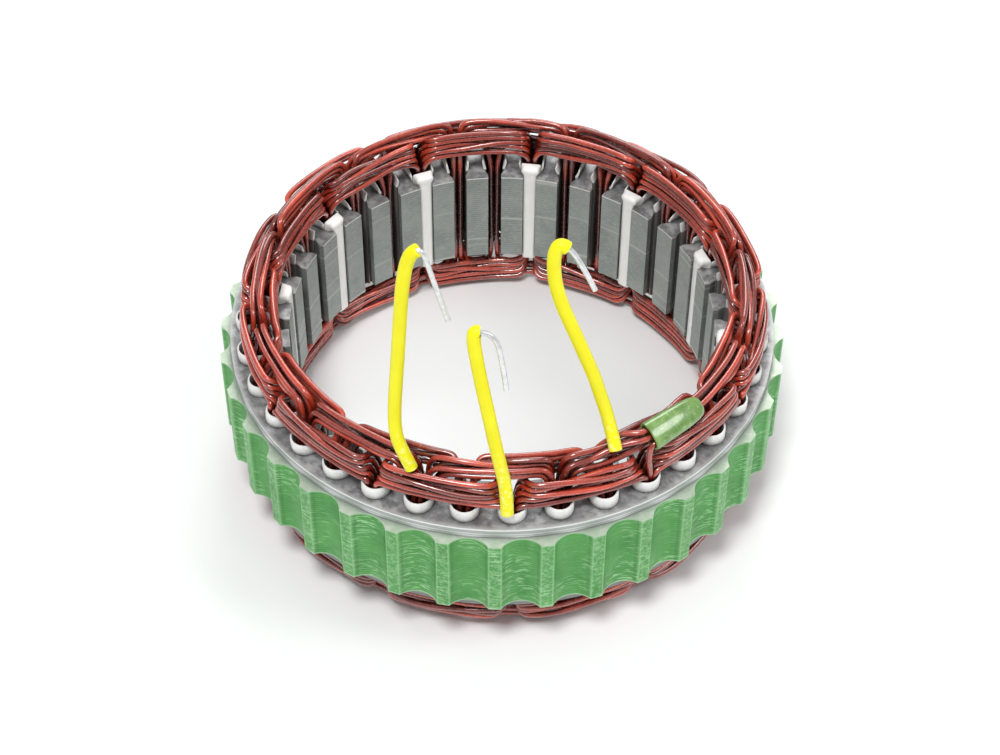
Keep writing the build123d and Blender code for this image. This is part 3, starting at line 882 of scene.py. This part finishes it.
def sleeve(path, count):
    """A hollow sleeve along a path, open at both ends."""
    last = len(path) - 1
    deep = 4
    bore = SLEEVE_BORE_RADIUS
    stations = [(deep, bore), (0, bore), (0, SLEEVE_RADIUS - 0.15)]
    stations += [(index, SLEEVE_RADIUS) for index in range(1, last)]
    stations += [(last, SLEEVE_RADIUS - 0.12), (last, bore), (last - deep, bore)]
    return loft(round_rings(path, stations, count))


for number, lead in enumerate(LEADS, start=1):
    root, covered, bare = (
        [above_winding(lead["slot"], p) for p in lead[part]] for part in ("root", "sleeve", "bare")
    )
    sleeve_mesh = sleeve(b_spline(covered, 6), 24)
    piece(f"sleeve_{number}", sleeve_mesh, SLEEVING, [f"lead_sleeve_{number}"], 60)
    wire_mesh = tube(b_spline(root + covered + bare, 6), LEAD_WIRE_RADIUS, 14)
    piece(f"lead_{number}", wire_mesh, LEAD_WIRE, [f"lead_wire_{number}"], 60)


def star_point():
    """The cap's middle, its length direction, and the directions across and out of its face."""
    angle = slot_angle(STAR_SLOT) + STAR_LEAD_ANGLE
    tilt = math.radians(STAR_TILT)
    along = on_arc(1.0, angle + 90, 0.0)
    normal = on_arc(math.sin(tilt), angle, math.cos(tilt))
    across = np.cross(normal, along)
    middle = on_arc(STAR_RADIUS, angle, HEAD_BASE_Z + STAR_LEVEL) + across * STAR_INWARD
    return middle, along, across, normal


def star_cap():
    """The flattened cap, open at its mouth."""
    middle, along, across, normal = star_point()
    turn = np.linspace(0, 2 * math.pi, 36, endpoint=False)
    mouth = STAR_SHAPE[0]
    inside = [(share, mouth[1] - STAR_WALL, mouth[2] - STAR_WALL) for share in (0.3, 0.0)]
    rings = []
    for share, half_width, half_thickness in inside + STAR_SHAPE:
        ring_middle = middle + along * STAR_HALF_LENGTH * (2 * share - 1)
        wide = np.sign(np.cos(turn)) * np.abs(np.cos(turn)) ** 0.8 * half_width
        high = np.sign(np.sin(turn)) * np.abs(np.sin(turn)) ** 0.9 * half_thickness
        rings.append(ring_middle + wide[:, None] * across + high[:, None] * normal)
    return loft(rings)


def in_cap(side, beyond, rise=0.0):
    """A point in line with the cap: across it, and how far it stands out of the mouth."""
    middle, along, across, normal = star_point()
    return middle - along * (STAR_HALF_LENGTH + beyond) + across * side + normal * rise


def star_tails():
    """The ends of the three phases on their way into the cap."""
    slot = slot_angle(STAR_SLOT)
    outer_points = [(0.1, 2.9, -0.6), (0.0, 2.9, 2.6), (-0.6, 2.9, 5.6)]
    outer_tail = [above_winding(STAR_SLOT, point) for point in outer_points]
    middle_tail = [
        on_arc(54.5, slot - 17.0, HEAD_BASE_Z + 5.6),
        on_arc(54.7, slot - 14.0, HEAD_BASE_Z + 8.0),
        on_arc(55.0, slot - 10.0, HEAD_BASE_Z + 9.9),
        on_arc(55.0, slot - 5.5, HEAD_BASE_Z + 10.6),
    ]
    inner_tail = [
        on_arc(52.4, slot - 13.0, HEAD_BASE_Z + 5.8),
        on_arc(52.3, slot - 10.5, HEAD_BASE_Z + 8.4),
        on_arc(52.6, slot - 7.5, HEAD_BASE_Z + 10.6),
        on_arc(53.6, slot - 4.0, HEAD_BASE_Z + 11.9),
    ]
    routes = [
        outer_tail + [in_cap(-1.9, 0.9, -0.5), in_cap(-1.7, -1.0), in_cap(-1.6, -4.0)],
        middle_tail + [in_cap(-0.2, 1.4, 0.2), in_cap(-0.1, -1.0), in_cap(0.0, -4.0)],
        inner_tail + [in_cap(1.4, 1.4, 0.2), in_cap(1.5, -1.0), in_cap(1.5, -4.0)],
    ]
    return join([tube(b_spline(route, 6), WIRE_RADIUS, 12) for route in routes])


piece("star_cap", star_cap(), CAP, ["star_point_sleeve"], 60)
piece("star_tails", star_tails(), ENAMEL, ["star_point_joint"], 60)


# Stage values, in metres, watts and world strength
FLOOR_HALF_SIZE = 6.0
FLOOR_GAP = 0.0002
FLOOR_COLOR = (0.885, 0.9, 0.9, 1.0)
HORIZON_LIGHT = 0.26
ZENITH_LIGHT = 0.56
LAMPS = [
    ("key", (-0.15, -0.4, 0.95), 0.28, 6.8),
    ("side", (0.75, -0.2, 0.72), 0.35, 2.4),
    ("rim", (0.1, 0.75, 0.75), 0.45, 3.0),
]


def lay_floor():
    """A pale floor just under the lower winding heads."""
    size = FLOOR_HALF_SIZE
    z = cad_box[0][2] - FLOOR_GAP
    mesh = bpy.data.meshes.new("floor")
    corners = [(-size, -size, z), (size, -size, z), (size, size, z), (-size, size, z)]
    mesh.from_pydata(corners, [], [(0, 1, 2, 3)])
    floor = bpy.data.objects.new("floor", mesh)
    bpy.context.scene.collection.objects.link(floor)
    g = Graph("floor")
    mesh.materials.append(g.shade(FLOOR_COLOR, 0.9, **{"Specular IOR Level": 0.0}))


def light_world():
    """Soft white surroundings, brighter overhead than at the horizon."""
    world = bpy.data.worlds.new("studio")
    bpy.context.scene.world = world
    world.use_nodes = True
    tree = world.node_tree
    tree.nodes.clear()
    output = tree.nodes.new("ShaderNodeOutputWorld")
    back = tree.nodes.new("ShaderNodeBackground")
    way = tree.nodes.new("ShaderNodeTexCoord")
    parts = tree.nodes.new("ShaderNodeSeparateXYZ")
    strength = tree.nodes.new("ShaderNodeMapRange")
    ends = {"From Min": 0.0, "From Max": 1.0, "To Min": HORIZON_LIGHT, "To Max": ZENITH_LIGHT}
    for key, value in ends.items():
        strength.inputs[key].default_value = value
    tree.links.new(way.outputs["Generated"], parts.inputs[0])
    tree.links.new(parts.outputs[2], strength.inputs[0])
    tree.links.new(strength.outputs[0], back.inputs[1])
    tree.links.new(back.outputs[0], output.inputs[0])
    back.inputs["Color"].default_value = (1.0, 1.0, 1.0, 1.0)


def area_light(name, location, size, watts):
    """A soft round lamp aimed at the middle of the floor."""
    data = bpy.data.lights.new(name, "AREA")
    data.shape = "DISK"
    data.size = size
    data.energy = watts
    lamp = bpy.data.objects.new(name, data)
    lamp.location = location
    lamp.rotation_euler = (-Vector(location)).to_track_quat("-Z", "Y").to_euler()
    bpy.context.scene.collection.objects.link(lamp)


lay_floor()
light_world()
for lamp_values in LAMPS:
    area_light(*lamp_values)

# The camera stands where a fit of the solid model to the picture puts it.
camera_data = bpy.data.cameras.new("camera")
camera_data.sensor_fit = "HORIZONTAL"
camera_data.sensor_width = 36.0
camera_data.lens = 78.4
camera = bpy.data.objects.new("camera", camera_data)
camera.location = (-0.0143787, -0.3445026, 0.3745344)
camera.rotation_euler = tuple(math.radians(a) for a in (43.1081, -0.2395, -2.0686))
bpy.context.scene.collection.objects.link(camera)
bpy.context.scene.camera = camera
bpy.context.scene.view_settings.view_transform = "Standard"
